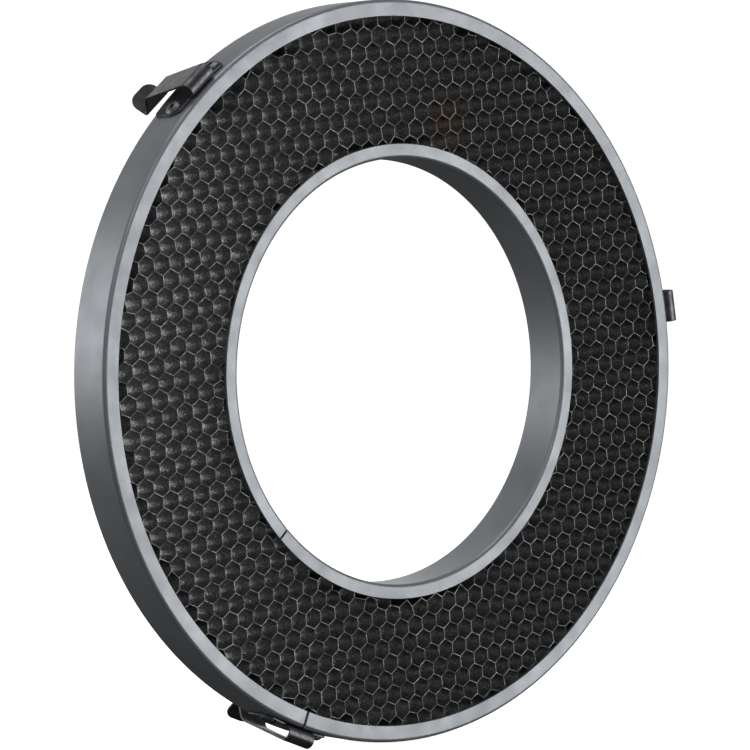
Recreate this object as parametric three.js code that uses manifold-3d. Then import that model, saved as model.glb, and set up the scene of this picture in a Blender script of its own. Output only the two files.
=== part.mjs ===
// Ring-shaped honeycomb grid for a dish-type studio lamp, clipped over the lamp's rim.
// Millimetres, +Z up. The ring's axis is Y and its front faces -Y. The origin is the centre of the
// ring, on the plane of its rear lips. Angles round the ring run from +X towards +Z.
import * as THREE from 'three';
import { mergeVertices } from 'three/addons/utils/BufferGeometryUtils.js';
import Module from 'manifold-3d';

const wasm = await Module();
wasm.setup();

// ---- Driving dimensions -------------------------------------------------------------------------

// The two rolled channels
const RING_RADIUS = 128; // outer face of the outer channel
const BORE_RADIUS = 73.5; // clear hole through the grid
const RING_DEPTH = 17.6; // front lips to rear lips
const OUTER_LIP = 5.8; // outside of the wall to the edge of the lip
const INNER_LIP = 5.0;
const SHEET = 1.0; // thickness of the channel metal
const BEND_RADIUS = 1.4; // outside of the bend between wall and lip
const SEAM_GAP = 0.8; // where the two ends of a rolled channel meet
const OUTER_SEAM_ANGLE = 250.0;
const INNER_SEAM_ANGLE = 225.7;
const OUTER_SEGMENTS = 84;
const INNER_SEGMENTS = 60;
const BEND_STEPS = 2;

// Clearance kept between pieces that touch
const GAP = 0.3;

// The honeycomb, with cells at twice the pitch of the real foil
const FOIL_PITCH = 6.35;
const PITCH = 2 * FOIL_PITCH;
const CELL_WALL = 0.3;
const CELL_ROW_ANGLE = 8.3;
const CORE_DEPTH = RING_DEPTH - 2 * (SHEET + GAP);
const CORE_OUTER = 124.5;
const CORE_INNER = 76.2;
const SMALLEST_CELL = 0.3; // share of a whole cell that a cut cell at the rim needs

// The strap that backs the inner channel's seam
const STRAP_THICKNESS = 0.8;
const STRAP_LENGTH = 24;
const STRAP_DEPTH = 12;

// The three spring clips, in the radial plane: height above the ring's outer face, and distance
// behind the ring's front plane
const CLIP_ANGLES = [10.7, 133.3, 250.2];
const STRIP_WIDTH = 11.3;
const STRIP = 0.8; // thickness of the spring steel
const BASE_LENGTH = 27.6;
const BASE_FRONT = 3.4;
const BASE_REAR = 15.4;
const BASE_FRONT_CORNER = { along: 1.8, behind: 4 }; // cut off each front corner
const BASE_REAR_CORNER = 1;
const HAIRPIN_BEHIND = 3.0;
const HAIRPIN_RADIUS = 2.5; // to the middle of the strip
const ARM_BEND = { behind: 27.5, height: 1.1 };
const HOOK_FOOT = { behind: 32.8, height: -5.9 };
const TAB_TIP = { behind: 38.2, height: 0.4 };
const STRIP_BEND_RADIUS = 1.6;
const TAB_CORNER = 3.7; // rounding at the tab's end, measured on the tab

// The blind rivets
const RIVET_SPREAD = 10.5; // from the middle of a clip, along the wall
const RIVET_BEHIND = 7.6;
const SHANK_RADIUS = 1.6;
const HEAD_RADIUS = 3.0;
const HEAD_HEIGHT = 1.0;
const RIVET_BORE = 0.95;
const TAIL_RADIUS = 2.35;
const TAIL_HEIGHT = 0.8;
const MANDREL_RADIUS = 0.65;
const MANDREL_HEAD_RADIUS = 1.25;
const MANDREL_HEAD_HEIGHT = 0.8;

const OVERSHOOT = 2; // how far a cutting body runs past what it cuts

// ---- Materials ----------------------------------------------------------------------------------

const material = (color, roughness, metalness) =>
  new THREE.MeshStandardMaterial({ color, roughness, metalness });
const CHANNEL_GREY = material(0x8d9094, 0.45, 0.7);
const CORE_BLACK = material(0x141414, 0.6, 0.3);
const CLIP_STEEL = material(0x2c2c2e, 0.4, 0.9);
const RIVET_STEEL = material(0x5a5a5c, 0.4, 0.9);
const MANDREL_STEEL = material(0x76777a, 0.35, 0.9);

// ---- Helpers ------------------------------------------------------------------------------------

const radians = THREE.MathUtils.degToRad;

// A solid for cutting and joining, from a closed geometry
function solidOf(geometry) {
  const bare = geometry.index ? geometry.toNonIndexed() : geometry.clone();
  bare.deleteAttribute('normal');
  bare.deleteAttribute('uv');
  const merged = mergeVertices(bare, 1e-4);
  return new wasm.Manifold(
    new wasm.Mesh({
      numProp: 3,
      vertProperties: new Float32Array(merged.attributes.position.array),
      triVerts: new Uint32Array(merged.index.array),
    }),
  );
}

function geometryOf(solid) {
  const mesh = solid.getMesh();
  const geometry = new THREE.BufferGeometry();
  geometry.setAttribute('position', new THREE.BufferAttribute(new Float32Array(mesh.vertProperties), 3));
  geometry.setIndex(new THREE.BufferAttribute(new Uint32Array(mesh.triVerts), 1));
  return geometry;
}

function piece(name, geometry, finish) {
  const mesh = new THREE.Mesh(geometry, finish);
  mesh.name = name;
  return mesh;
}

const extrude = (shapes, depth) =>
  new THREE.ExtrudeGeometry(shapes, { depth, bevelEnabled: false, curveSegments: 1 });

// A closed polygon on a circle, as points
function circlePoints(radius, segments) {
  return Array.from({ length: segments }, (_, i) => {
    const angle = (i * 2 * Math.PI) / segments;
    return new THREE.Vector2(radius * Math.cos(angle), radius * Math.sin(angle));
  });
}

// A flat ring drawn in the ring's own plane and made `depth` deep, its rear face at y = `rear`
function ringSolid(outer, inner, depth, rear, outerSegments, innerSegments) {
  const shape = new THREE.Shape(circlePoints(outer, outerSegments));
  shape.holes.push(new THREE.Path(circlePoints(inner, innerSegments)));
  return alongY(extrude(shape, depth), rear);
}

// Turns a geometry extruded along +Z so that its drawing stands in the XZ plane and its depth runs
// from y = rear towards -Y
function alongY(geometry, rear) {
  return geometry.rotateX(Math.PI / 2).translate(0, rear, 0);
}

// ---- The rolled channels ------------------------------------------------------------------------

// Section of a channel, as radius against y. `wall` is the radius of its outside wall, `lip` the
// reach of its lips from there, and `inward` is -1 where the lips point at the ring's axis and 1
// where they point away from it.
function channelSection(wall, lip, inward) {
  const front = -RING_DEPTH;
  const lipEdge = wall + inward * lip;
  const inside = wall + inward * SHEET;
  const points = [new THREE.Vector2(lipEdge, front)];
  for (const [corner, side] of [[front, 1], [0, -1]]) {
    for (let i = 0; i <= BEND_STEPS; i += 1) {
      const turn = ((side > 0 ? i : BEND_STEPS - i) / BEND_STEPS) * (Math.PI / 2);
      const radius = wall + inward * BEND_RADIUS * (1 - Math.sin(turn));
      points.push(new THREE.Vector2(radius, corner + side * BEND_RADIUS * (1 - Math.cos(turn))));
    }
  }
  points.push(new THREE.Vector2(lipEdge, 0));
  points.push(new THREE.Vector2(lipEdge, -SHEET));
  points.push(new THREE.Vector2(inside, -SHEET));
  points.push(new THREE.Vector2(inside, front + SHEET));
  points.push(new THREE.Vector2(lipEdge, front + SHEET));
  points.push(points[0].clone());
  return inward < 0 ? points : points.reverse();
}

// A thin radial slab that parts a channel at its seam
function seamCutter(radius, angle) {
  const reach = OUTER_LIP + OVERSHOOT;
  const slab = new THREE.BoxGeometry(2 * reach, RING_DEPTH + 2 * OVERSHOOT, SEAM_GAP);
  slab.translate(radius, -RING_DEPTH / 2, 0).rotateY(-radians(angle));
  return solidOf(slab);
}

// A round bar lying along a radius of the ring, at a rivet's place
function rivetHoleCutter(angle) {
  const radius = SHANK_RADIUS + GAP;
  const bar = new THREE.CylinderGeometry(radius, radius, 2 * (STRIP + SHEET + OVERSHOOT), 16);
  bar.rotateZ(Math.PI / 2).translate(RING_RADIUS, RIVET_BEHIND - RING_DEPTH, 0).rotateY(-radians(angle));
  return solidOf(bar);
}

const rivetTurn = THREE.MathUtils.radToDeg(RIVET_SPREAD / (RING_RADIUS + STRIP));
const rivetAngles = (clipAngle) => [clipAngle - rivetTurn, clipAngle + rivetTurn];

function outerChannel() {
  let solid = solidOf(new THREE.LatheGeometry(channelSection(RING_RADIUS, OUTER_LIP, -1), OUTER_SEGMENTS));
  solid = solid.subtract(seamCutter(RING_RADIUS, OUTER_SEAM_ANGLE));
  for (const angle of CLIP_ANGLES.flatMap(rivetAngles)) solid = solid.subtract(rivetHoleCutter(angle));
  return geometryOf(solid);
}

function innerChannel() {
  const solid = solidOf(new THREE.LatheGeometry(channelSection(BORE_RADIUS, INNER_LIP, 1), INNER_SEGMENTS));
  return geometryOf(solid.subtract(seamCutter(BORE_RADIUS, INNER_SEAM_ANGLE)));
}

// A curved band between two radii, centred on the angle 0 and `height` deep along Y, centred on y = 0
function curvedBand(innerRadius, thickness, length, height, steps) {
  const half = length / 2 / innerRadius;
  const outerRadius = innerRadius + thickness;
  const outline = [];
  for (let i = 0; i <= steps; i += 1) {
    const angle = half * ((2 * i) / steps - 1);
    outline.push(new THREE.Vector2(outerRadius * Math.cos(angle), outerRadius * Math.sin(angle)));
  }
  for (let i = steps; i >= 0; i -= 1) {
    const angle = half * ((2 * i) / steps - 1);
    outline.push(new THREE.Vector2(innerRadius * Math.cos(angle), innerRadius * Math.sin(angle)));
  }
  return alongY(extrude(new THREE.Shape(outline), height), height / 2);
}

function innerJointStrap() {
  const radius = BORE_RADIUS + SHEET + GAP;
  const band = curvedBand(radius, STRAP_THICKNESS, STRAP_LENGTH, STRAP_DEPTH, 10);
  return band.translate(0, -RING_DEPTH / 2, 0).rotateY(-radians(INNER_SEAM_ANGLE));
}

// ---- The honeycomb core -------------------------------------------------------------------------

// The open cells as prisms, their outlines shrunk by half a wall
function cellShapes() {
  const corner = (PITCH - CELL_WALL) / Math.sqrt(3);
  const across = new THREE.Vector2(PITCH, 0).rotateAround(new THREE.Vector2(), radians(CELL_ROW_ANGLE));
  const up = across.clone().rotateAround(new THREE.Vector2(), Math.PI / 3);
  const reach = Math.ceil(RING_RADIUS / PITCH) + 8;
  const shapes = [];
  for (let i = -reach; i <= reach; i += 1) {
    for (let j = -reach; j <= reach; j += 1) {
      const centre = across.clone().multiplyScalar(i).addScaledVector(up, j);
      if (cellShare(centre) < SMALLEST_CELL) continue;
      const points = [];
      for (let k = 0; k < 6; k += 1) {
        const angle = radians(CELL_ROW_ANGLE + 30 + 60 * k);
        points.push(new THREE.Vector2(corner * Math.cos(angle), corner * Math.sin(angle)).add(centre));
      }
      shapes.push(new THREE.Shape(points));
    }
  }
  return shapes;
}

// Roughly how much of a cell lies between the core's two rims
function cellShare(centre) {
  const distance = centre.length();
  const inside = Math.min(CORE_OUTER - distance, distance - CORE_INNER);
  return THREE.MathUtils.clamp(0.5 + inside / PITCH, 0, 1);
}

function honeycombCore() {
  const rear = -SHEET - GAP;
  const rimSegments = [OUTER_SEGMENTS, INNER_SEGMENTS];
  const blank = solidOf(ringSolid(CORE_OUTER, CORE_INNER, CORE_DEPTH, rear, ...rimSegments));
  const open = solidOf(
    ringSolid(CORE_OUTER - CELL_WALL, CORE_INNER + CELL_WALL, CORE_DEPTH + 2 * OVERSHOOT,
      rear + OVERSHOOT, ...rimSegments),
  );
  const cells = solidOf(alongY(extrude(cellShapes(), CORE_DEPTH + 4 * OVERSHOOT), rear + 2 * OVERSHOOT));
  return geometryOf(blank.subtract(cells.intersect(open)));
}

// ---- The spring clips ---------------------------------------------------------------------------
// A clip is drawn at the angle 0: X is the radius, Y the ring's axis and Z runs along the wall.

const clipPoint = (height, behind) => new THREE.Vector2(RING_RADIUS + height, behind - RING_DEPTH);

const clipRoot = clipPoint(GAP + STRIP / 2, HAIRPIN_BEHIND);

// Outline of a strip of even thickness along a line of points
function stripOutline(line, thickness) {
  const left = [];
  const right = [];
  line.forEach((point, i) => {
    const before = line[Math.max(i - 1, 0)];
    const after = line[Math.min(i + 1, line.length - 1)];
    const incoming = point.clone().sub(before).normalize();
    const outgoing = after.clone().sub(point).normalize();
    const along = incoming.clone().add(outgoing).normalize();
    const cosine = i === 0 || i === line.length - 1 ? 1 : along.dot(outgoing);
    const normal = new THREE.Vector2(-along.y, along.x).multiplyScalar(thickness / 2 / cosine);
    left.push(point.clone().add(normal));
    right.unshift(point.clone().sub(normal));
  });
  return [...left, ...right];
}

// Points of a line with its corners rounded to a radius
function roundedLine(corners, radius, steps) {
  const points = [corners[0]];
  for (let i = 1; i < corners.length - 1; i += 1) {
    const back = corners[i - 1].clone().sub(corners[i]).normalize();
    const ahead = corners[i + 1].clone().sub(corners[i]).normalize();
    const reach = radius / Math.tan(Math.acos(back.dot(ahead)) / 2);
    const bend = new THREE.QuadraticBezierCurve(
      corners[i].clone().addScaledVector(back, reach),
      corners[i],
      corners[i].clone().addScaledVector(ahead, reach),
    );
    points.push(...bend.getPoints(steps));
  }
  points.push(corners[corners.length - 1]);
  return points;
}

// The middle of the strip from the hairpin's root to the tip of the lead-in tab
function armLine() {
  const centre = clipRoot.clone().add(new THREE.Vector2(HAIRPIN_RADIUS, 0));
  const hairpin = [];
  const steps = 10;
  for (let i = 0; i <= steps; i += 1) {
    const angle = Math.PI + (Math.PI * i) / steps;
    const spoke = new THREE.Vector2(Math.cos(angle), Math.sin(angle)).multiplyScalar(HAIRPIN_RADIUS);
    hairpin.push(spoke.add(centre));
  }
  const corners = [
    hairpin[steps],
    clipPoint(ARM_BEND.height, ARM_BEND.behind),
    clipPoint(HOOK_FOOT.height, HOOK_FOOT.behind),
    clipPoint(TAB_TIP.height, TAB_TIP.behind),
  ];
  return [...hairpin.slice(0, steps), ...roundedLine(corners, STRIP_BEND_RADIUS, 3)];
}

// The strip seen from outside, with the corners of its tab cut back
function armOutline() {
  const half = STRIP_WIDTH / 2;
  const front = -RING_DEPTH - OVERSHOOT;
  const slope = Math.atan2(TAB_TIP.height - HOOK_FOOT.height, TAB_TIP.behind - HOOK_FOOT.behind);
  const reach = TAB_CORNER * Math.cos(slope); // of the rounding, along the ring's axis
  const start = TAB_TIP.behind - RING_DEPTH - reach;
  const steps = 4;
  const rounding = Array.from({ length: steps + 1 }, (_, i) => {
    const turn = (i / steps) * (Math.PI / 2);
    return new THREE.Vector2(half - TAB_CORNER * (1 - Math.cos(turn)), start + reach * Math.sin(turn));
  });
  const mirrored = rounding.map((point) => new THREE.Vector2(-point.x, point.y)).reverse();
  const root = [new THREE.Vector2(-half, front), new THREE.Vector2(half, front)];
  return new THREE.Shape([...root, ...rounding, ...mirrored]);
}

// A block with an outline drawn as (along the wall, y), standing through the wall along X
function radialBlock(shape) {
  const reach = 4 * HAIRPIN_RADIUS + 2 * OVERSHOOT;
  return solidOf(extrude(shape, 2 * reach).rotateY(Math.PI / 2).translate(RING_RADIUS - reach, 0, 0));
}

function clipArm() {
  const strip = extrude(new THREE.Shape(stripOutline(armLine(), STRIP)), STRIP_WIDTH + 2 * OVERSHOOT);
  strip.translate(0, 0, -STRIP_WIDTH / 2 - OVERSHOOT);
  return geometryOf(solidOf(strip).intersect(radialBlock(armOutline())));
}

function clipBase() {
  const front = BASE_FRONT - RING_DEPTH;
  const rear = BASE_REAR - RING_DEPTH;
  const half = BASE_LENGTH / 2;
  const outline = new THREE.Shape([
    new THREE.Vector2(BASE_FRONT_CORNER.along - half, front),
    new THREE.Vector2(half - BASE_FRONT_CORNER.along, front),
    new THREE.Vector2(half, front + BASE_FRONT_CORNER.behind),
    new THREE.Vector2(half, rear - BASE_REAR_CORNER),
    new THREE.Vector2(half - BASE_REAR_CORNER, rear),
    new THREE.Vector2(BASE_REAR_CORNER - half, rear),
    new THREE.Vector2(-half, rear - BASE_REAR_CORNER),
    new THREE.Vector2(-half, front + BASE_FRONT_CORNER.behind),
  ]);
  const band = curvedBand(RING_RADIUS + GAP, STRIP, BASE_LENGTH + 2 * OVERSHOOT, RING_DEPTH, 12);
  let plate = solidOf(band.translate(0, -RING_DEPTH / 2, 0)).intersect(radialBlock(outline));
  for (const angle of rivetAngles(0)) plate = plate.subtract(rivetHoleCutter(angle));
  return geometryOf(plate);
}

// ---- The rivets ---------------------------------------------------------------------------------
// Drawn round the Y axis with y = 0 on the ring's outer face, then laid along a radius.

function layOnRadius(geometry) {
  return geometry.rotateZ(-Math.PI / 2).translate(RING_RADIUS, RIVET_BEHIND - RING_DEPTH, 0);
}

function rivetBody() {
  const seat = STRIP + 2 * GAP;
  const tailTop = -SHEET - GAP;
  const tailEnd = tailTop - TAIL_HEIGHT;
  const section = [
    [RIVET_BORE, tailEnd],
    [TAIL_RADIUS - 0.5, tailEnd],
    [TAIL_RADIUS, tailEnd + TAIL_HEIGHT / 2],
    [TAIL_RADIUS - 0.15, tailTop],
    [SHANK_RADIUS, tailTop],
    [SHANK_RADIUS, seat],
    [HEAD_RADIUS, seat],
    [HEAD_RADIUS - 0.1, seat + 0.35 * HEAD_HEIGHT],
    [HEAD_RADIUS - 0.8, seat + 0.85 * HEAD_HEIGHT],
    [HEAD_RADIUS - 1.5, seat + HEAD_HEIGHT],
    [RIVET_BORE, seat + HEAD_HEIGHT],
    [RIVET_BORE, tailEnd],
  ].map(([radius, height]) => new THREE.Vector2(radius, height));
  return layOnRadius(new THREE.LatheGeometry(section, 12));
}

function mandrelStub() {
  const seat = STRIP + 2 * GAP;
  const headTop = -SHEET - 2 * GAP - TAIL_HEIGHT;
  const section = [
    [0, headTop - MANDREL_HEAD_HEIGHT],
    [0.6 * MANDREL_HEAD_RADIUS, headTop - MANDREL_HEAD_HEIGHT],
    [MANDREL_HEAD_RADIUS, headTop - MANDREL_HEAD_HEIGHT / 2],
    [MANDREL_HEAD_RADIUS, headTop],
    [MANDREL_RADIUS, headTop],
    [MANDREL_RADIUS, seat + 0.4 * HEAD_HEIGHT],
    [0, seat + 0.6 * HEAD_HEIGHT],
  ].map(([radius, height]) => new THREE.Vector2(radius, height));
  return layOnRadius(new THREE.LatheGeometry(section, 10));
}

// ---- The assembly -------------------------------------------------------------------------------

const grid = new THREE.Group();

grid.add(piece('outer_channel', outerChannel(), CHANNEL_GREY));
grid.add(piece('inner_channel', innerChannel(), CHANNEL_GREY));
grid.add(piece('inner_joint_strap', innerJointStrap(), CHANNEL_GREY));
grid.add(piece('honeycomb_core', honeycombCore(), CORE_BLACK));

CLIP_ANGLES.forEach((angle, index) => {
  const clip = new THREE.Group();
  clip.rotation.y = -radians(angle);
  clip.add(piece(`clip_base_${index + 1}`, clipBase(), CLIP_STEEL));
  clip.add(piece(`clip_arm_${index + 1}`, clipArm(), CLIP_STEEL));
  grid.add(clip);
  rivetAngles(angle).forEach((rivetAngle, side) => {
    const rivet = new THREE.Group();
    rivet.rotation.y = -radians(rivetAngle);
    const place = `${index + 1}${'ab'[side]}`;
    rivet.add(piece(`rivet_${place}`, rivetBody(), RIVET_STEEL));
    rivet.add(piece(`mandrel_${place}`, mandrelStub(), MANDREL_STEEL));
    grid.add(rivet);
  });
});

export default grid;
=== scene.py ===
"""Looks of a ring-shaped honeycomb grid with riveted spring clips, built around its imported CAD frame.

Everything is in metres in the frame's own axes: the ring's axis is Y, its front faces -Y and Z is up.
"""

import logging
import math
import random
from dataclasses import dataclass
from enum import Enum
from typing import Iterable, Sequence

import bmesh
import bpy
from mathutils import Matrix, Vector, noise


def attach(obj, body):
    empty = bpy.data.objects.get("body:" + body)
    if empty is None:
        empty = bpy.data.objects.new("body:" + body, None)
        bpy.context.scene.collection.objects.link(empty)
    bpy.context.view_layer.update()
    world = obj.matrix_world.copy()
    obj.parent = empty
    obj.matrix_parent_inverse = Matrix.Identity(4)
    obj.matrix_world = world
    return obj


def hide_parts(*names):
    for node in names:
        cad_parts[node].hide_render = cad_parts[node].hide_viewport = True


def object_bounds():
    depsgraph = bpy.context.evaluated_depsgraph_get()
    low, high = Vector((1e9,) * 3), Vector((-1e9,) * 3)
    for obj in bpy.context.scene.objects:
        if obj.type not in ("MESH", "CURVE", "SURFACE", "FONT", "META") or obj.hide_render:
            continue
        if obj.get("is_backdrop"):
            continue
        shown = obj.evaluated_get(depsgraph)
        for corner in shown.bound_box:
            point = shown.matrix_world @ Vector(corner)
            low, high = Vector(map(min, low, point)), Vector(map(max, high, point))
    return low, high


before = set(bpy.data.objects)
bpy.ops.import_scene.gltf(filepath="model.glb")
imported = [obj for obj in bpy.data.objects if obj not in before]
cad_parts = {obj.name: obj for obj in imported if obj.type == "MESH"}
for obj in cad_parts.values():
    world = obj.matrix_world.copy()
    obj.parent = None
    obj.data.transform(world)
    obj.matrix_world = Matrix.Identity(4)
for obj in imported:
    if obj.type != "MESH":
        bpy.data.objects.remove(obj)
CAD_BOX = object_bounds()

MM = 0.001
AXIS = Vector((0.0, 1.0, 0.0))
LOG = logging.getLogger("grid")

Colour = tuple[float, float, float]
Socket = bpy.types.NodeSocket
Mesh = bmesh.types.BMesh
MeshPart = bmesh.types.BMVert | bmesh.types.BMEdge


# ---- Shared measures ------------------------------------------------------------------------------

RING_DEPTH = 17.6 * MM
OUTER_RADIUS = 128.0 * MM
BORE_RADIUS = 73.5 * MM
OUTER_LIP = 5.8 * MM
INNER_LIP = 5.0 * MM
SHEET = 1.0 * MM
OUTER_SEAM_ANGLE = 250.0
INNER_SEAM_ANGLE = 225.7
CLIP_ANGLES = (10.7, 133.3, 250.2)
RIVET_SPREAD = 10.5 * MM
RIVET_BEHIND = 7.6 * MM
SPRING_STRIP = 0.8 * MM
SEAT_GAP = 0.15 * MM  # between a piece and the wall that it lies on
SAME_PLACE = 1e-6  # measures closer than this are the same
WELD = 1e-7  # points closer than this are joined where a turned section meets its axis


class Facing(Enum):
    """Which way a channel's lips point from its wall."""

    INWARD = -1
    OUTWARD = 1


class Body(Enum):
    """The moving bodies of the frame."""

    FRAME = "frame"
    ARM = "arm"

    def of(self, index: int) -> str:
        """The body's name in the frame, where arms are numbered."""
        return self.value if self is Body.FRAME else f"{self.value}_{index}"


# ---- Material helpers -----------------------------------------------------------------------------


def set_stops(ramp: bpy.types.ColorRamp, stops: Iterable[tuple[float, Colour]]) -> None:
    """Gives a new colour ramp its stops.

    Args:
        ramp: A ramp that still has its two first stops.
        stops: (position, colour) of each stop, in order, two or more of them.
    """
    elements = ramp.elements
    for index, (position, colour) in enumerate(stops):
        element = elements[index] if index < len(elements) else elements.new(position)
        element.position = position
        element.color = (*colour, 1.0)


class Shader:
    """A principled material under construction, with patterns read in the piece's own coordinates."""

    def __init__(self, name: str) -> None:
        """Starts an empty material.

        Args:
            name: The material's name.
        """
        self.material = bpy.data.materials.new(name)
        self.material.use_nodes = True
        self.tree = self.material.node_tree
        self.bsdf = self.tree.nodes["Principled BSDF"]
        self.coordinates = self.tree.nodes.new("ShaderNodeTexCoord").outputs["Object"]

    def set(self, **values: object) -> None:
        """Sets constant sockets of the shader; underscores stand for spaces."""
        for name, value in values.items():
            self.bsdf.inputs[name.replace("_", " ")].default_value = value

    def node(self, kind: str, **settings: object) -> bpy.types.Node:
        """Adds a node.

        Args:
            kind: The node's type name.
            **settings: Properties of the node and their values.

        Returns:
            The new node.
        """
        made = self.tree.nodes.new(kind)
        for name, value in settings.items():
            setattr(made, name, value)
        return made

    def link(self, source: Socket, target: Socket) -> None:
        """Joins two sockets."""
        self.tree.links.new(source, target)

    def noise(self, scale: float, detail: float = 4.0) -> Socket:
        """Adds a noise pattern.

        Args:
            scale: Blobs per metre, roughly.
            detail: Octaves of finer noise on top.

        Returns:
            The pattern's value socket.
        """
        texture = self.node("ShaderNodeTexNoise")
        texture.inputs["Scale"].default_value = scale
        texture.inputs["Detail"].default_value = detail
        self.link(self.coordinates, texture.inputs["Vector"])
        return texture.outputs["Fac"]

    def near(self, centre: Sequence[float], radius: float) -> Socket:
        """Adds a soft patch.

        Args:
            centre: The point where the patch is 1.
            radius: The distance at which it has faded to 0.

        Returns:
            The patch's value socket.
        """
        away = self.node("ShaderNodeVectorMath", operation="DISTANCE")
        away.inputs[1].default_value = centre
        self.link(self.coordinates, away.inputs[0])
        fade = self.node("ShaderNodeMapRange", interpolation_type="SMOOTHSTEP")
        fade.inputs["From Min"].default_value = radius
        fade.inputs["From Max"].default_value = 0.0
        self.link(away.outputs["Value"], fade.inputs["Value"])
        return fade.outputs["Result"]

    def ramp(self, value: Socket, stops: Iterable[tuple[float, Colour]]) -> Socket:
        """Turns a value into a colour.

        Args:
            value: The value, from 0 to 1.
            stops: (position, colour) of each stop of the ramp.

        Returns:
            The colour socket.
        """
        made = self.node("ShaderNodeValToRGB")
        set_stops(made.color_ramp, stops)
        self.link(value, made.inputs["Fac"])
        return made.outputs["Color"]

    def spread(self, value: Socket, low: float, high: float,
               start: float = 0.3, end: float = 0.7) -> Socket:
        """Maps one range of a pattern onto another, clamped.

        Args:
            value: The pattern.
            low: What the pattern's start becomes.
            high: What the pattern's end becomes.
            start: Where the mapped range of the pattern starts.
            end: Where it ends.

        Returns:
            The mapped value's socket.
        """
        made = self.node("ShaderNodeMapRange")
        for name, number in (("From Min", start), ("From Max", end), ("To Min", low), ("To Max", high)):
            made.inputs[name].default_value = number
        self.link(value, made.inputs["Value"])
        return made.outputs["Result"]

    def blend(self, share: Socket, under: Socket | Colour, over: Socket | Colour) -> Socket:
        """Mixes two colours.

        Args:
            share: How much of the second colour shows.
            under: The first colour.
            over: The second colour.

        Returns:
            The mixed colour's socket.
        """
        made = self.node("ShaderNodeMix", data_type="RGBA")
        self.link(share, made.inputs["Factor"])
        colour_sockets = [socket for socket in made.inputs if socket.type == "RGBA"]
        for socket, colour in zip(colour_sockets, (under, over)):
            if isinstance(colour, Socket):
                self.link(colour, socket)
            else:
                socket.default_value = (*colour, 1.0)
        return next(socket for socket in made.outputs if socket.type == "RGBA")

    def bump(self, height: Socket, strength: float, distance: float) -> None:
        """Adds a bump, on top of any bump already there.

        Args:
            height: The height pattern.
            strength: How strongly the bump shows, from 0 to 1.
            distance: The height, in metres, that the pattern's whole range stands for.
        """
        made = self.node("ShaderNodeBump")
        made.inputs["Strength"].default_value = strength
        made.inputs["Distance"].default_value = distance
        self.link(height, made.inputs["Height"])
        target = self.bsdf.inputs["Normal"]
        if target.is_linked:
            self.link(target.links[0].from_socket, made.inputs["Normal"])
        self.link(made.outputs["Normal"], target)


@dataclass(frozen=True)
class SatinCoat:
    """Satin grey coat on rolled sheet metal, with a fine grain and faint handling marks."""

    name: str = "satin_grey_coat"
    light: Colour = (0.365, 0.385, 0.405)
    dark: Colour = (0.315, 0.333, 0.352)
    speck: Colour = (0.50, 0.52, 0.545)
    grain: float = 2600.0
    clouds: float = 35.0

    def make(self) -> bpy.types.Material:
        """Builds the material.

        Returns:
            The material.
        """
        shader = Shader(self.name)
        shader.set(Metallic=0.55)
        cloudy = shader.noise(self.clouds, 5.0)
        colour = shader.ramp(cloudy, ((0.3, self.dark), (0.7, self.light)))
        specks = shader.spread(shader.noise(self.grain, 2.0), 0.0, 0.28, 0.45, 0.75)
        shader.link(shader.blend(specks, colour, self.speck), shader.bsdf.inputs["Base Color"])
        shader.link(shader.spread(shader.noise(140.0, 6.0), 0.40, 0.50), shader.bsdf.inputs["Roughness"])
        shader.bump(shader.noise(self.grain, 3.0), 0.16, 0.02 * MM)
        shader.bump(shader.noise(260.0, 2.0), 0.10, 0.05 * MM)
        return shader.material


@dataclass(frozen=True)
class BlackFoil:
    """Black coated foil of the honeycomb, finely dimpled, with painted glint flecks and a few browner
    cells.
    """

    name: str = "black_foil"
    colour: Colour = (0.23, 0.23, 0.235)
    # painted glint: the bright colour of flecks that stand in for speckled highlights on the foil
    painted_glint: Colour = (0.68, 0.68, 0.69)
    brown: Colour = (0.36, 0.27, 0.17)
    brown_centre: tuple[float, float, float] = (0.020, -0.015, 0.088)
    brown_reach: float = 0.015

    def make(self) -> bpy.types.Material:
        """Builds the material.

        Returns:
            The material.
        """
        shader = Shader(self.name)
        shader.set(Metallic=0.85)
        # painted glint: noise mixes bright flecks into the foil's colour in place of speckled highlights
        painted_glint_share = shader.spread(shader.noise(1700.0, 5.0), 0.0, 1.0, 0.52, 0.70)
        coat = shader.blend(painted_glint_share, self.colour, self.painted_glint)
        patch = shader.near(self.brown_centre, self.brown_reach)
        shader.link(shader.blend(patch, coat, self.brown), shader.bsdf.inputs["Base Color"])
        shader.link(shader.spread(shader.noise(900.0, 4.0), 0.26, 0.46), shader.bsdf.inputs["Roughness"])
        shader.bump(shader.noise(1500.0, 4.0), 0.75, 0.22 * MM)
        shader.bump(shader.noise(420.0, 2.0), 0.45, 0.45 * MM)
        return shader.material


@dataclass(frozen=True)
class CutFoil:
    """Cut edge of the foil, where bare aluminium shows between smears of the black coat."""

    name: str = "cut_foil"
    bare: Colour = (0.56, 0.55, 0.54)
    coated: Colour = (0.10, 0.10, 0.10)

    def make(self) -> bpy.types.Material:
        """Builds the material.

        Returns:
            The material.
        """
        shader = Shader(self.name)
        shader.set(Metallic=0.35)
        worn = shader.noise(520.0, 5.0)
        colour = shader.ramp(worn, ((0.30, self.coated), (0.58, self.bare)))
        shader.link(colour, shader.bsdf.inputs["Base Color"])
        shader.link(shader.spread(worn, 0.55, 0.38), shader.bsdf.inputs["Roughness"])
        shader.bump(shader.noise(3000.0, 2.0), 0.3, 0.03 * MM)
        return shader.material


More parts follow.
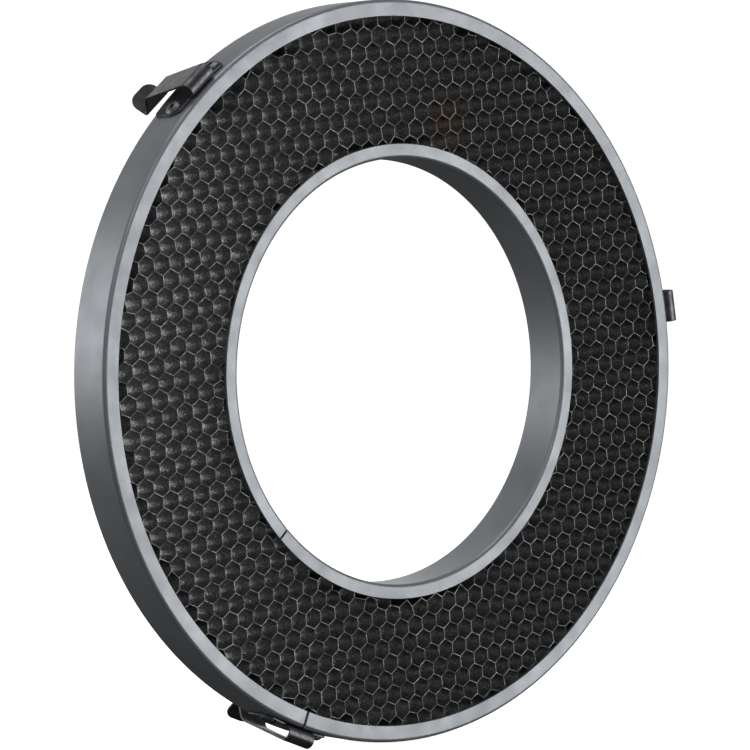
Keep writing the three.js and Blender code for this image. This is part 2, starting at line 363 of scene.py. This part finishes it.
@dataclass(frozen=True)
class SatinSteel:
    """Satin steel, blackened or bare, with fine drawn lines and rubbed patches."""

    name: str
    dark: Colour
    rubbed: Colour
    roughness: tuple[float, float] = (0.36, 0.50)

    def make(self) -> bpy.types.Material:
        """Builds the material.

        Returns:
            The material.
        """
        shader = Shader(self.name)
        shader.set(Metallic=0.95)
        rub = shader.noise(230.0, 6.0)
        fine = shader.spread(shader.noise(2800.0, 3.0), 0.0, 0.35, 0.45, 0.8)
        base = shader.ramp(rub, ((0.35, self.dark), (0.75, self.rubbed)))
        shader.link(shader.blend(fine, base, self.rubbed), shader.bsdf.inputs["Base Color"])
        roughness = shader.spread(shader.noise(700.0, 4.0), *self.roughness)
        shader.link(roughness, shader.bsdf.inputs["Roughness"])
        shader.bump(shader.noise(2400.0, 3.0), 0.18, 0.02 * MM)
        return shader.material


class Finishes:
    """The finishes of the grid, one material each."""

    def __init__(self) -> None:
        """Builds every material once."""
        self.coat = SatinCoat().make()
        self.foil = BlackFoil().make()
        self.cut_foil = CutFoil().make()
        self.clip = SatinSteel("blackened_spring_steel", (0.085, 0.085, 0.09), (0.17, 0.17, 0.18)).make()
        self.rivet = SatinSteel(
            "dark_rivet_steel", (0.13, 0.13, 0.135), (0.25, 0.25, 0.26), (0.38, 0.50)).make()
        self.mandrel = SatinSteel(
            "bare_mandrel_steel", (0.12, 0.12, 0.12), (0.26, 0.26, 0.27), (0.35, 0.50)).make()


# ---- Mesh helpers ---------------------------------------------------------------------------------


def radial(point: Vector) -> float:
    """Distance of a point from the ring's axis."""
    return math.hypot(point.x, point.z)


def turned(degrees: float) -> Matrix:
    """The turn about the ring's axis that carries +X to an angle measured from +X towards +Z."""
    return Matrix.Rotation(-math.radians(degrees), 4, "Y")


def wire(bm: Mesh, points: Sequence[Sequence[float]], closed: bool = False) -> list[MeshPart]:
    """Adds a line of points with edges between them.

    Args:
        bm: The mesh under construction.
        points: Corners of the line.
        closed: Whether the last corner joins the first.

    Returns:
        The new vertices and edges.
    """
    verts = [bm.verts.new(point) for point in points]
    pairs = list(zip(verts, verts[1:])) + ([(verts[-1], verts[0])] if closed else [])
    return verts + [bm.edges.new(pair) for pair in pairs]


def round_edges(bm: Mesh, edges: list[bmesh.types.BMEdge], radius: float, segments: int) -> None:
    """Rounds edges.

    Args:
        bm: The mesh under construction.
        edges: The edges.
        radius: How far from each edge the rounding starts.
        segments: Facets across it.
    """
    bmesh.ops.bevel(bm, geom=edges, offset=radius, affect="EDGES", segments=segments,
                    profile=0.5, material=-1, offset_type="OFFSET")


def round_corners(bm: Mesh, verts: list[bmesh.types.BMVert], radius: float, segments: int) -> None:
    """Rounds the corners of a flat sheet, seen from above.

    Args:
        bm: The mesh under construction.
        verts: The corners.
        radius: How far from each corner the rounding starts.
        segments: Facets across it.
    """
    bmesh.ops.bevel(bm, geom=verts, offset=radius, affect="VERTICES", segments=segments,
                    profile=0.5, material=-1, offset_type="OFFSET")


def spin_solid(section: Sequence[Sequence[float]], steps: int) -> Mesh:
    """Turns a section once round the X axis.

    Args:
        section: (radius, height along X) of each corner. A section that starts and ends on the axis
            makes a solid body, and any other one is closed into a ring.
        steps: Facets round the axis.

    Returns:
        The closed mesh, facing outwards.
    """
    bm = bmesh.new()
    solid = section[0][0] == 0.0 and section[-1][0] == 0.0
    geometry = wire(bm, [(height, radius, 0.0) for radius, height in section], closed=not solid)
    bmesh.ops.spin(bm, geom=geometry, cent=(0, 0, 0), axis=(1, 0, 0),
                   angle=2 * math.pi, steps=steps, use_merge=True)
    bmesh.ops.remove_doubles(bm, verts=bm.verts, dist=WELD)
    bmesh.ops.recalc_face_normals(bm, faces=bm.faces)
    return bm


class Piece:
    """A finished object of the grid, which stands for CAD nodes and rides on a body."""

    def __init__(self, name: str, bm: Mesh, place: Matrix, *materials: bpy.types.Material) -> None:
        """Makes the object from a mesh.

        Args:
            name: Name of the object and of its mesh.
            bm: The mesh, which is freed.
            place: Carries the mesh to its place in the frame.
            *materials: The object's materials in slot order.
        """
        bm.transform(place)
        mesh = bpy.data.meshes.new(name)
        bm.to_mesh(mesh)
        bm.free()
        for material in materials:
            mesh.materials.append(material)
        self.obj = bpy.data.objects.new(name, mesh)
        bpy.context.scene.collection.objects.link(self.obj)

    def smooth(self, degrees: float = 35.0) -> "Piece":
        """Shades the piece smooth.

        Args:
            degrees: Edges that turn more than this stay sharp.

        Returns:
            The piece itself.
        """
        mesh = self.obj.data
        mesh.shade_smooth()
        mesh.set_sharp_from_angle(angle=math.radians(degrees))
        return self

    def thicken(self, thickness: float, offset: float) -> "Piece":
        """Gives a sheet its thickness.

        Args:
            thickness: Of the finished sheet.
            offset: -1 grows it behind its faces, and 0 both ways.

        Returns:
            The piece itself.
        """
        solidify = self.obj.modifiers.new("sheet", "SOLIDIFY")
        solidify.thickness = thickness
        solidify.offset = offset
        solidify.use_even_offset = True
        return self

    def break_edges(self, width: float, segments: int = 2, degrees: float = 40.0) -> "Piece":
        """Rounds the sharp edges a little and keeps the broad faces flat in shading.

        Args:
            width: Of the rounding.
            segments: Faces across it.
            degrees: Edges that turn more than this are rounded.

        Returns:
            The piece itself.
        """
        bevel = self.obj.modifiers.new("edges", "BEVEL")
        bevel.width = width
        bevel.segments = segments
        bevel.limit_method = "ANGLE"
        bevel.angle_limit = math.radians(degrees)
        bevel.use_clamp_overlap = True
        weighted = self.obj.modifiers.new("shading", "WEIGHTED_NORMAL")
        weighted.keep_sharp = True
        return self

    def settle(self, body: str, slot: str, *nodes: str) -> None:
        """Puts the piece on its body and hides the CAD nodes it stands for.

        Args:
            body: The body that the piece moves with.
            slot: Not used.
            *nodes: The CAD nodes.
        """
        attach(self.obj, body)
        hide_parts(*nodes)
        LOG.info("%s rides on %s for %s", self.obj.name, body, ", ".join(nodes))


# ---- The rolled channels --------------------------------------------------------------------------


@dataclass
class RolledChannel:
    """A sheet-metal channel rolled into a ring, open at a seam where its two ends meet."""

    name: str
    node: str
    wall: float
    lip: float
    facing: Facing
    seam_angle: float
    seam_gap: float
    bend: float = 1.4 * MM
    steps: int = 288
    bend_steps: int = 7
    edge_break: float = 0.18 * MM

    def build(self) -> Mesh:
        """Makes the outside surface of the channel, with rounded bends between wall and lips.

        Returns:
            The open sheet, with its seam at the angle 0.
        """
        bm = bmesh.new()
        edge = self.wall + self.facing.value * self.lip
        section = [(edge, -RING_DEPTH, 0), (self.wall, -RING_DEPTH, 0), (self.wall, 0, 0), (edge, 0, 0)]
        geometry = wire(bm, section)
        gap = self.seam_gap / self.wall
        bmesh.ops.spin(bm, geom=geometry, cent=(0, 0, 0), axis=AXIS, angle=gap - 2 * math.pi,
                       steps=self.steps, use_merge=False)
        bmesh.ops.rotate(bm, verts=bm.verts, cent=(0, 0, 0), matrix=Matrix.Rotation(-gap / 2, 3, "Y"))
        round_edges(bm, [e for e in bm.edges if self.is_corner(e)], self.bend, self.bend_steps)
        self.face_out(bm)
        return bm

    def is_corner(self, edge: bmesh.types.BMEdge) -> bool:
        """Tells the corner between wall and lip from the other edges.

        Args:
            edge: An edge of the channel before its bends are rounded.

        Returns:
            Whether it runs round the ring on the wall.
        """
        first, second = (vert.co for vert in edge.verts)
        level = abs(first.y - second.y) < SAME_PLACE
        return level and all(abs(radial(point) - self.wall) < SAME_PLACE for point in (first, second))

    def face_out(self, bm: Mesh) -> None:
        """Turns the faces to look away from the channel's inside.

        Args:
            bm: The channel's sheet.
        """
        bmesh.ops.recalc_face_normals(bm, faces=bm.faces)
        side = next(f for f in bm.faces if abs(f.normal.y) < 0.1)
        centre = side.calc_center_median()
        outward = side.normal.dot(Vector((centre.x, 0, centre.z))) * -self.facing.value
        if outward < 0:
            bmesh.ops.reverse_faces(bm, faces=bm.faces)

    def assemble(self, finishes: Finishes) -> None:
        """Builds the channel and puts it in the frame.

        Args:
            finishes: The grid's finishes.
        """
        piece = Piece(self.name, self.build(), turned(self.seam_angle), finishes.coat)
        piece.smooth().thicken(SHEET, -1.0).break_edges(self.edge_break)
        piece.settle(Body.FRAME.value, "channel_grey", self.node)


@dataclass
class JointStrap:
    """The curved strap behind the inner channel's wall that holds its seam together."""

    name: str = "seam_strap"
    angle: float = INNER_SEAM_ANGLE
    length: float = 24.0 * MM
    width: float = 12.0 * MM
    thickness: float = 0.8 * MM
    steps: int = 24
    edge_break: float = 0.15 * MM

    def build(self) -> Mesh:
        """Makes the strap as a curved bar.

        Returns:
            The closed bar, with its middle at the angle 0.
        """
        bm = bmesh.new()
        radius = BORE_RADIUS + SHEET + SEAT_GAP
        half, middle = self.width / 2, -RING_DEPTH / 2
        corners = [(radius, middle - half, 0), (radius + self.thickness, middle - half, 0),
                   (radius + self.thickness, middle + half, 0), (radius, middle + half, 0)]
        face = bm.faces.new([bm.verts.new(corner) for corner in corners])
        turn = self.length / radius
        bmesh.ops.rotate(bm, verts=bm.verts, cent=(0, 0, 0), matrix=Matrix.Rotation(turn / 2, 3, "Y"))
        bmesh.ops.spin(bm, geom=[face, *face.edges, *face.verts], cent=(0, 0, 0), axis=AXIS,
                       angle=-turn, steps=self.steps, use_merge=False)
        bmesh.ops.holes_fill(bm, edges=[e for e in bm.edges if e.is_boundary], sides=4)
        bmesh.ops.recalc_face_normals(bm, faces=bm.faces)
        return bm

    def assemble(self, finishes: Finishes) -> None:
        """Builds the strap and puts it in the frame.

        Args:
            finishes: The grid's finishes.
        """
        piece = Piece(self.name, self.build(), turned(self.angle), finishes.coat)
        piece.smooth().break_edges(self.edge_break)
        piece.settle(Body.FRAME.value, "channel_grey", "inner_joint_strap")


# ---- The honeycomb --------------------------------------------------------------------------------


@dataclass
class HoneycombCore:
    """The annular panel of expanded foil honeycomb that the channels hold."""

    name: str = "foil_honeycomb"
    pitch: float = 6.35 * MM
    foil: float = 0.14 * MM
    row_angle: float = 8.3
    recess: float = 0.15 * MM
    wall_gap: float = 0.4 * MM
    weld: float = 0.2 * MM
    drift: float = 0.30 * MM
    scatter: float = 0.06 * MM
    rim_scatter: float = 0.45 * MM
    rim_band: float = 0.45  # cells this share of a pitch from a lip's edge are looser
    drift_scale: float = 28.0  # waves of the drift per metre, roughly
    drift_start: tuple[float, float, float] = (7.0, 3.0, 5.0)
    ragged: float = 0.07 * MM
    seed: int = 41

    def centres(self) -> Iterable[Vector]:
        """Lays out the cells that show between the lips.

        Yields:
            The centre of each cell, as a point in the XZ plane.
        """
        across = Vector((self.pitch, 0.0))
        across.rotate(Matrix.Rotation(math.radians(self.row_angle), 2))
        up = across.copy()
        up.rotate(Matrix.Rotation(math.radians(60.0), 2))
        corner = self.pitch / math.sqrt(3)
        reach = int(OUTER_RADIUS / self.pitch * 1.3) + 2
        for i in range(-reach, reach + 1):
            for j in range(-reach, reach + 1):
                centre = across * i + up * j
                span = centre.length
                if span - corner < OUTER_RADIUS - OUTER_LIP and span + corner > BORE_RADIUS + INNER_LIP:
                    yield centre

    def build(self) -> Mesh:
        """Makes the foil walls, with the cut edges in the second material slot.

        Returns:
            One closed mesh, shaded smooth round each cell and sharp at the cuts.
        """
        bm = bmesh.new()
        corner = self.pitch / math.sqrt(3)
        stand = Matrix.Rotation(math.radians(90.0), 4, "X")
        tilt = Matrix.Rotation(math.radians(self.row_angle), 4, "Z")
        for centre in self.centres():
            place = stand @ Matrix.Translation((centre.x, centre.y, 0.0)) @ tilt
            bmesh.ops.create_circle(bm, cap_ends=True, segments=6, radius=corner, matrix=place)
        bmesh.ops.remove_doubles(bm, verts=bm.verts, dist=self.weld)
        self.distort(bm)
        cells = list(bm.faces)
        bmesh.ops.inset_individual(bm, faces=cells, thickness=self.foil / 2, use_even_offset=True)
        bmesh.ops.delete(bm, geom=cells, context="FACES_ONLY")
        front, rear = -RING_DEPTH + SHEET + self.recess, -SHEET - self.recess
        bmesh.ops.translate(bm, verts=bm.verts, vec=(0, front, 0))
        grown = bmesh.ops.extrude_face_region(bm, geom=bm.faces[:])["geom"]
        moved = [g for g in grown if isinstance(g, bmesh.types.BMVert)]
        bmesh.ops.translate(bm, verts=moved, vec=(0, rear - front, 0))
        bmesh.ops.recalc_face_normals(bm, faces=bm.faces)
        for face in bm.faces:
            face.material_index = int(abs(face.normal.y) > 0.5)
            face.smooth = True
        for edge in bm.edges:
            edge.smooth = abs(edge.verts[0].co.y - edge.verts[1].co.y) > SHEET
        self.fray(bm, front)
        return bm

    def distort(self, bm: Mesh) -> None:
        """Makes the cells a little uneven, more so by the lips, and keeps them between the walls.

        Args:
            bm: The flat cells, joined at their corners.
        """
        draw = random.Random(self.seed)
        outer_limit = OUTER_RADIUS - SHEET - self.wall_gap
        inner_limit = BORE_RADIUS + SHEET + self.wall_gap
        for vert in bm.verts:
            wave = noise.noise_vector(vert.co * self.drift_scale + Vector(self.drift_start)) * self.drift
            span = radial(vert.co)
            rim = min(OUTER_RADIUS - OUTER_LIP - span, span - BORE_RADIUS - INNER_LIP)
            loose = self.rim_scatter if rim < self.pitch * self.rim_band else self.scatter
            vert.co.x += wave.x + draw.gauss(0.0, loose)
            vert.co.z += wave.z + draw.gauss(0.0, loose)
            span = radial(vert.co)
            held = min(max(span, inner_limit), outer_limit)
            vert.co.x *= held / span
            vert.co.z *= held / span

    def fray(self, bm: Mesh, front: float) -> None:
        """Makes the cut edges at the front and rear slightly ragged.

        Args:
            bm: The foil walls.
            front: Where the front cut lies along Y.
        """
        draw = random.Random(self.seed + 1)
        for vert in bm.verts:
            side = -1.0 if vert.co.y < front / 2 else 1.0
            vert.co.y -= side * draw.uniform(0.0, self.ragged)

    def assemble(self, finishes: Finishes) -> None:
        """Builds the panel and puts it in the frame.

        Args:
            finishes: The grid's finishes.
        """
        piece = Piece(self.name, self.build(), Matrix.Identity(4), finishes.foil, finishes.cut_foil)
        piece.settle(Body.FRAME.value, "core_black", "honeycomb_core")


# ---- The spring clips -----------------------------------------------------------------------------


@dataclass
class SpringClip:
    """One bent strip of spring steel: a riveted base, a hairpin, an arm, a hook and a lead-in tab.

    It is drawn at the angle 0, where X is the radius, Y the ring's axis and Z runs along the wall.
    Heights are above the ring's outer face, and distances behind its front plane.
    """

    index: int
    angle: float
    width: float = 11.3 * MM
    hairpin_behind: float = 3.0 * MM
    hairpin_radius: float = 2.5 * MM
    hairpin_steps: int = 20
    arm_bend: tuple[float, float] = (1.1 * MM, 27.5 * MM)  # height, then distance behind the front
    hook_foot: tuple[float, float] = (-5.9 * MM, 32.8 * MM)
    tab_tip: tuple[float, float] = (0.4 * MM, 38.2 * MM)
    tab_corner: float = 3.7 * MM
    tab_corner_steps: int = 8
    bend_radius: float = 1.5 * MM
    bend_steps: int = 6
    base_length: float = 27.6 * MM
    base_front: float = 3.15 * MM
    base_rear: float = 15.4 * MM
    base_front_corner: tuple[float, float] = (1.8 * MM, 4.0 * MM)  # along the wall, then behind the front
    base_rear_corner: float = 1.0 * MM
    base_steps: int = 24
    edge_break: float = 0.16 * MM

    @property
    def seat(self) -> float:
        """Radius of the middle of the strip where it lies on the wall."""
        return OUTER_RADIUS + SEAT_GAP + SPRING_STRIP / 2

    def point(self, height: float, behind: float, along: float = 0.0) -> Vector:
        """A point by its height above the wall, distance behind the front and place along the wall."""
        return Vector((OUTER_RADIUS + height, behind - RING_DEPTH, along))

    def build_arm(self) -> Mesh:
        """Makes the middle surface of the strip from the hairpin's root to the tip of its tab.

        Returns:
            The open sheet.
        """
        bm = bmesh.new()
        root = self.seat - OUTER_RADIUS
        half = self.width / 2
        start = wire(bm, [self.point(root, self.hairpin_behind, z) for z in (-half, half)])
        centre = self.point(root + self.hairpin_radius, self.hairpin_behind)
        spun = bmesh.ops.spin(bm, geom=start, cent=centre, axis=(0, 0, 1), angle=math.pi,
                              steps=self.hairpin_steps, use_merge=False)
        verts = [g for g in spun["geom_last"] if isinstance(g, bmesh.types.BMVert)]
        last = next(e for e in bm.edges if set(e.verts) == set(verts))
        at = self.point(root + 2 * self.hairpin_radius, self.hairpin_behind)
        bends = []
        for height, behind in (self.arm_bend, self.hook_foot, self.tab_tip):
            target = self.point(height, behind)
            grown = bmesh.ops.extrude_edge_only(bm, edges=[last])["geom"]
            moved = [g for g in grown if isinstance(g, bmesh.types.BMVert)]
            bmesh.ops.translate(bm, verts=moved, vec=target - at)
            bends.append(last)
            last = next(g for g in grown if isinstance(g, bmesh.types.BMEdge))
            at = target
        round_corners(bm, list(last.verts), self.tab_corner, self.tab_corner_steps)
        round_edges(bm, bends[1:], self.bend_radius, self.bend_steps)
        bmesh.ops.recalc_face_normals(bm, faces=bm.faces)
        return bm

    def build_base(self) -> Mesh:
        """Makes the middle surface of the base plate, rolled to the wall.

        Returns:
            The open sheet.
        """
        bm = bmesh.new()
        half = self.base_length / 2
        front, rear = self.base_front - RING_DEPTH, self.base_rear - RING_DEPTH
        along, behind = self.base_front_corner
        small = self.base_rear_corner
        outline = [
            (along - half, front), (half - along, front),
            (half, front + behind), (half, rear - small),
            (half - small, rear), (small - half, rear),
            (-half, rear - small), (-half, front + behind),
        ]
        bm.faces.new([bm.verts.new((self.seat, y, z)) for z, y in outline])
        for step in range(1, self.base_steps):
            cut = -half + self.base_length * step / self.base_steps
            bmesh.ops.bisect_plane(bm, geom=bm.verts[:] + bm.edges[:] + bm.faces[:],
                                   plane_co=(0, 0, cut), plane_no=(0, 0, 1))
        for vert in bm.verts:
            turn = vert.co.z / self.seat
            vert.co = Vector((self.seat * math.cos(turn), vert.co.y, self.seat * math.sin(turn)))
        bmesh.ops.recalc_face_normals(bm, faces=bm.faces)
        return bm

    def assemble(self, finishes: Finishes) -> None:
        """Builds the base and the arm and puts them in the frame.

        Args:
            finishes: The grid's finishes.
        """
        parts = (("base", self.build_base(), Body.FRAME), ("arm", self.build_arm(), Body.ARM))
        for kind, bm, body in parts:
            piece = Piece(f"spring_clip_{kind}_{self.index}", bm, turned(self.angle), finishes.clip)
            piece.smooth(60.0).thicken(SPRING_STRIP, 0.0).break_edges(self.edge_break)
            piece.settle(body.of(self.index), "clip_steel", f"clip_{kind}_{self.index}")


@dataclass
class BlindRivet:
    """A blind rivet through a clip's base and the wall, with its snapped mandrel inside.

    It is drawn round the X axis, with x = 0 on the ring's outer face.
    """

    place: str
    angle: float
    head_radius: float = 3.0 * MM
    head_height: float = 1.15 * MM
    rim_share: float = 0.22  # of the head's height that stands up straight
    mouth: float = 0.35 * MM  # flat ring round the bore
    dome_steps: int = 7
    clearance: float = 0.05 * MM
    bore: float = 0.95 * MM
    shank: float = 1.6 * MM
    tail_radius: float = 2.35 * MM
    tail_height: float = 0.8 * MM
    mandrel_radius: float = 0.72 * MM
    steps: int = 40

    @property
    def seat(self) -> float:
        """Height of the underside of the head above the wall."""
        return SEAT_GAP + SPRING_STRIP + 0.02 * MM

    def build_body(self) -> Mesh:
        """Makes the domed head, the shank and the flared tail round an open bore.

        Returns:
            The closed ring.
        """
        top = self.seat
        tail = -SHEET - self.clearance
        tail_end = tail - self.tail_height
        section = [
            (self.bore, tail_end),
            (self.tail_radius - 0.5 * MM, tail_end),
            (self.tail_radius, tail - self.tail_height / 2),
            (self.tail_radius - 0.15 * MM, tail),
            (self.shank, tail),
            (self.shank, top),
            (self.head_radius, top),
            (self.head_radius, top + self.rim_share * self.head_height),
        ]
        inward = self.head_radius - self.bore - self.mouth
        for step in range(1, self.dome_steps + 1):
            share = step / self.dome_steps
            rise = self.rim_share + (1 - self.rim_share) * math.sin(share * math.pi / 2)
            section.append((self.head_radius - inward * share, top + self.head_height * rise))
        section.append((self.bore, top + 0.9 * self.head_height))
        return spin_solid(section, self.steps)

    def build_mandrel(self) -> Mesh:
        """Makes the stub that is left in the bore, with a snapped end and a round head behind the tail.

        Returns:
            The closed solid.
        """
        stem, top = self.mandrel_radius, self.seat
        back = -SHEET - self.tail_height - 2 * self.clearance
        section = [
            (0.0, back - 0.9 * MM),
            (0.8 * MM, back - 0.8 * MM),
            (1.25 * MM, back - 0.4 * MM),
            (1.25 * MM, back),
            (stem, back),
            (stem, top + 0.25 * MM),
            (0.7 * stem, top + 0.42 * MM),
            (0.35 * stem, top + 0.36 * MM),
            (0.0, top + 0.50 * MM),
        ]
        return spin_solid(section, self.steps // 2)

    def assemble(self, finishes: Finishes) -> None:
        """Builds the rivet and its mandrel and puts them in the frame.

        Args:
            finishes: The grid's finishes.
        """
        place = turned(self.angle) @ Matrix.Translation((OUTER_RADIUS, RIVET_BEHIND - RING_DEPTH, 0.0))
        body = Piece(f"blind_rivet_{self.place}", self.build_body(), place, finishes.rivet)
        body.smooth(50.0).settle(Body.FRAME.value, "rivet_steel", f"rivet_{self.place}")
        stub = Piece(f"rivet_mandrel_{self.place}", self.build_mandrel(), place, finishes.mandrel)
        stub.smooth(50.0).settle(Body.FRAME.value, "mandrel_steel", f"mandrel_{self.place}")


# ---- The studio -----------------------------------------------------------------------------------


@dataclass(frozen=True)
class SoftBox:
    """A soft rectangular light that faces the ring."""

    name: str
    place: tuple[float, float, float]
    size: tuple[float, float]
    power: float

    def set_up(self) -> None:
        """Adds the light, turned towards the origin and unseen by the camera."""
        light = bpy.data.lights.new(self.name, "AREA")
        light.shape = "RECTANGLE"
        light.size, light.size_y = self.size
        light.energy = self.power
        box = bpy.data.objects.new(self.name, light)
        box.location = self.place
        box.rotation_euler = (-Vector(self.place)).to_track_quat("-Z", "Y").to_euler()
        box.visible_camera = False
        bpy.context.scene.collection.objects.link(box)


@dataclass
class Studio:
    """A white floor, white surroundings and soft lights."""

    floor_size: float = 60.0
    floor_gap: float = 0.2 * MM
    sky: tuple[tuple[float, Colour], ...] = (
        (0.22, (0.065, 0.065, 0.067)),
        (0.58, (0.26, 0.264, 0.272)),
        (0.85, (0.10, 0.101, 0.104)),
    )  # what the object gathers from below (0) to above (1)
    sky_strength: float = 0.75
    backdrop_strength: float = 1.1
    boxes: tuple[SoftBox, ...] = (
        SoftBox("left_box", (-0.40, 0.33, 0.085), (0.30, 0.26), 0.56),
        SoftBox("front_box", (1.4, -1.9, 0.0), (1.6, 1.6), 28.0),
        SoftBox("key_box", (-1.1, -1.0, 0.9), (0.7, 0.7), 3.5),
        SoftBox("top_box", (-0.2, 0.3, 1.8), (1.2, 1.2), 10.0),
        SoftBox("back_box", (1.0, 1.25, 0.35), (0.8, 0.8), 2.2),
        SoftBox("rear_box", (0.6, 2.4, 0.5), (1.4, 1.4), 7.0),
    )

    def make_floor(self) -> None:
        """A wide pale floor just under the object."""
        bm = bmesh.new()
        bmesh.ops.create_grid(bm, x_segments=1, y_segments=1, size=self.floor_size)
        bmesh.ops.translate(bm, verts=bm.verts, vec=(0, 0, CAD_BOX[0].z - self.floor_gap))
        shader = Shader("white_floor")
        shader.set(Base_Color=(0.9, 0.9, 0.9, 1.0), Roughness=0.8,
                   Emission_Color=(1.0, 1.0, 1.0, 1.0), Emission_Strength=0.95)
        floor = Piece("studio_floor", bm, Matrix.Identity(4), shader.material).obj
        floor.visible_diffuse = False
        floor.visible_glossy = False
        floor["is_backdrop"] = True

    def make_surroundings(self) -> None:
        """Puts plain white behind the object and a soft vertical gradient in the light that it gathers."""
        world = bpy.data.worlds.new("studio")
        world.use_nodes = True
        tree = world.node_tree
        tree.nodes.clear()
        nodes = {}
        for key, kind in (("way", "ShaderNodeTexCoord"), ("part", "ShaderNodeSeparateXYZ"),
                          ("ramp", "ShaderNodeValToRGB"), ("level", "ShaderNodeMapRange"),
                          ("light", "ShaderNodeBackground"), ("white", "ShaderNodeBackground"),
                          ("path", "ShaderNodeLightPath"), ("mix", "ShaderNodeMixShader"),
                          ("out", "ShaderNodeOutputWorld")):
            nodes[key] = tree.nodes.new(kind)
        nodes["level"].inputs["From Min"].default_value = -1.0
        set_stops(nodes["ramp"].color_ramp, self.sky)
        nodes["light"].inputs["Strength"].default_value = self.sky_strength
        nodes["white"].inputs["Color"].default_value = (1.0, 1.0, 1.0, 1.0)
        nodes["white"].inputs["Strength"].default_value = self.backdrop_strength
        for source, target in (
            (nodes["way"].outputs["Generated"], nodes["part"].inputs["Vector"]),
            (nodes["part"].outputs["Z"], nodes["level"].inputs["Value"]),
            (nodes["level"].outputs["Result"], nodes["ramp"].inputs["Fac"]),
            (nodes["ramp"].outputs["Color"], nodes["light"].inputs["Color"]),
            (nodes["path"].outputs["Is Camera Ray"], nodes["mix"].inputs["Fac"]),
            (nodes["light"].outputs["Background"], nodes["mix"].inputs[1]),
            (nodes["white"].outputs["Background"], nodes["mix"].inputs[2]),
            (nodes["mix"].outputs["Shader"], nodes["out"].inputs["Surface"]),
        ):
            tree.links.new(source, target)
        bpy.context.scene.world = world

    def set_up(self) -> None:
        """Adds the floor, the surroundings and the lights."""
        self.make_floor()
        self.make_surroundings()
        for box in self.boxes:
            box.set_up()
        bpy.context.scene.view_settings.view_transform = "Standard"
        LOG.info("studio with %d soft boxes", len(self.boxes))


@dataclass
class ViewPoint:
    """The camera, in front of the ring and to its left, level with its middle."""

    place: tuple[float, float, float] = (-0.7700, -0.9145, 0.0158)
    right: tuple[float, float, float] = (0.7648, -0.6442, 0.0122)
    forward: tuple[float, float, float] = (0.6443, 0.7647, -0.0145)
    lens: float = 164.53
    sensor: float = 36.0

    def set_up(self) -> None:
        """Adds the camera and makes it the scene's."""
        data = bpy.data.cameras.new("view")
        data.lens, data.sensor_width = self.lens, self.sensor
        data.clip_start, data.clip_end = 0.05, 100.0
        back = -Vector(self.forward).normalized()
        up = back.cross(Vector(self.right)).normalized()
        side = up.cross(back)
        turn = Matrix((side, up, back)).transposed()
        camera = bpy.data.objects.new("view", data)
        camera.matrix_world = Matrix.Translation(self.place) @ turn.to_4x4()
        bpy.context.scene.collection.objects.link(camera)
        bpy.context.scene.camera = camera
        LOG.info("camera at %s", self.place)


# ---- The assembly ---------------------------------------------------------------------------------


def main() -> None:
    """Builds the studio and every piece of the grid, in order."""
    logging.basicConfig(level=logging.INFO, format="%(name)s: %(message)s")
    ViewPoint().set_up()
    Studio().set_up()
    finishes = Finishes()
    RolledChannel("outer_ring", "outer_channel", OUTER_RADIUS, OUTER_LIP,
                  Facing.INWARD, OUTER_SEAM_ANGLE, 0.9 * MM).assemble(finishes)
    RolledChannel("inner_ring", "inner_channel", BORE_RADIUS, INNER_LIP,
                  Facing.OUTWARD, INNER_SEAM_ANGLE, 0.6 * MM).assemble(finishes)
    JointStrap().assemble(finishes)
    HoneycombCore().assemble(finishes)
    spread = math.degrees(RIVET_SPREAD / (OUTER_RADIUS + SPRING_STRIP))
    for index, angle in enumerate(CLIP_ANGLES, 1):
        SpringClip(index, angle).assemble(finishes)
        BlindRivet(f"{index}a", angle - spread).assemble(finishes)
        BlindRivet(f"{index}b", angle + spread).assemble(finishes)
    [[list(corner) for corner in box] for box in (CAD_BOX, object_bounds())]


if __name__ == "__main__":
    main()
